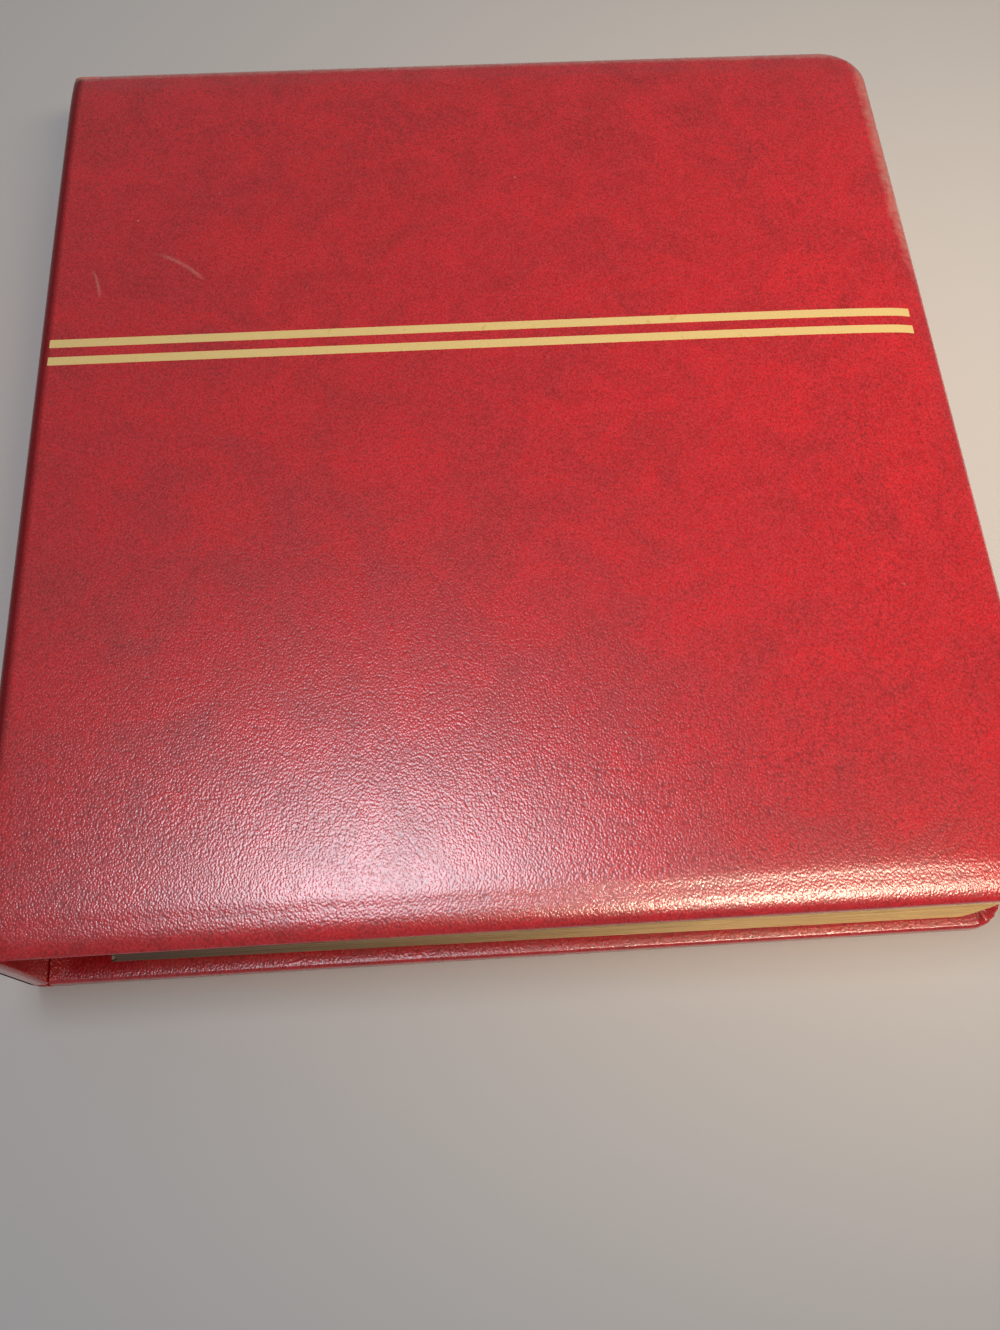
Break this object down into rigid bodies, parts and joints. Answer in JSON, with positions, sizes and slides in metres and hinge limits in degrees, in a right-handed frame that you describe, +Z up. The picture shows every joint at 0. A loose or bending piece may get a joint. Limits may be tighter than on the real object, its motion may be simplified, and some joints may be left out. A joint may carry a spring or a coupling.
{
  "type": "stamp album",
  "caption": "Padded leatherette ring album for stamp leaves, with gilt-edged leaves, gold foil rules and a sprung ring mechanism on the spine.",
  "frame": {"origin": "centre of the closed album's footprint, on the underside of the back cover", "axes": "+X from the spine to the fore edge, +Y from tail to head, +Z up through the front cover"},
  "size_m": [0.2672, 0.292, 0.0485],
  "materials": {
    "leatherette": "pebbled, satin",
    "foam": "open-cell foam",
    "board": "grey board",
    "lining": "matte lining paper",
    "foil": "stamped gold foil",
    "nickel": "bright nickel plate",
    "spring_steel": "spring steel",
    "leaf_card": "cream card with gilt edges",
    "mount_film": "clear film over a blank sheet"
  },
  "bodies": {
    "back_cover": {"back_board": "board", "back_skin": "leatherette", "back_liner": "lining"},
    "spine": {"spine_skin": "leatherette", "spine_board": "board", "spine_liner": "lining", "ring_plate": "nickel", "plate_rivets": "nickel", "lever_pins": "spring_steel"},
    "front_cover": {"front_skin": "leatherette", "front_board": "board", "front_foam": "foam", "front_liner": "lining", "foil_rules": "foil"},
    "upper_ring_half": {"upper_rings": "nickel", "upper_blade": "spring_steel"},
    "lower_ring_half": {"lower_rings": "nickel", "lower_blade": "spring_steel"},
    "tail_press": {"tail_lever": "nickel"},
    "head_press": {"head_lever": "nickel"},
    "front_leaves": {"leaf_01": "leaf_card", "leaf_02": "leaf_card", "leaf_03": "leaf_card", "leaf_04": "leaf_card", "leaf_05": "leaf_card", "leaf_06": "leaf_card", "leaf_07": "leaf_card", "leaf_08": "leaf_card", "leaf_09": "leaf_card", "leaf_10": "leaf_card", "leaf_11": "leaf_card", "leaf_12": "leaf_card", "front_mounts": "mount_film"},
    "back_leaves": {"leaf_13": "leaf_card", "leaf_14": "leaf_card", "leaf_15": "leaf_card", "leaf_16": "leaf_card", "leaf_17": "leaf_card", "leaf_18": "leaf_card", "leaf_19": "leaf_card", "leaf_20": "leaf_card", "leaf_21": "leaf_card", "leaf_22": "leaf_card", "leaf_23": "leaf_card", "leaf_24": "leaf_card", "back_mounts": "mount_film"}
  },
  "joints": [
    {"name": "spine_fold", "type": "hinge", "parent": "back_cover", "child": "spine", "pos_m": [-0.1306, 0, 0.003], "axis": [0, -1, 0], "range_deg": [0, 90]},
    {"name": "cover_open", "type": "hinge", "parent": "spine", "child": "front_cover", "pos_m": [-0.1306, 0, 0.0454], "axis": [0, -1, 0], "range_deg": [0, 90]},
    {"name": "ring_open", "type": "hinge", "parent": "spine", "child": "upper_ring_half", "pos_m": [-0.1259, 0, 0.0345], "axis": [0, -1, 0], "range_deg": [0, 9]},
    {"name": "lower_ring_open", "type": "hinge", "parent": "spine", "child": "lower_ring_half", "pos_m": [-0.1259, 0, 0.0139], "axis": [0, -1, 0], "range_deg": [-9, 0]},
    {"name": "tail_lever_press", "type": "hinge", "parent": "spine", "child": "tail_press", "pos_m": [-0.1268, -0.122, 0.0242], "axis": [0, 0, -1], "range_deg": [0, 9]},
    {"name": "head_lever_press", "type": "hinge", "parent": "spine", "child": "head_press", "pos_m": [-0.1268, 0.122, 0.0242], "axis": [0, 0, 1], "range_deg": [0, 9]},
    {"name": "front_leaf_turn", "type": "hinge", "parent": "spine", "child": "front_leaves", "pos_m": [-0.1094, 0, 0.0242], "axis": [0, -1, 0], "range_deg": [0, 90]},
    {"name": "back_leaf_stay", "type": "hinge", "parent": "spine", "child": "back_leaves", "pos_m": [-0.1094, 0, 0.0242], "axis": [0, -1, 0], "range_deg": [-90, 0]}
  ],
  "couplings": [
    {"joint": "lower_ring_open", "follows": "ring_open", "ratio": -1},
    {"joint": "tail_lever_press", "follows": "ring_open", "ratio": 1},
    {"joint": "head_lever_press", "follows": "ring_open", "ratio": 1},
    {"joint": "front_leaf_turn", "follows": "cover_open", "ratio": 1},
    {"joint": "back_leaf_stay", "follows": "spine_fold", "ratio": -1}
  ]
}
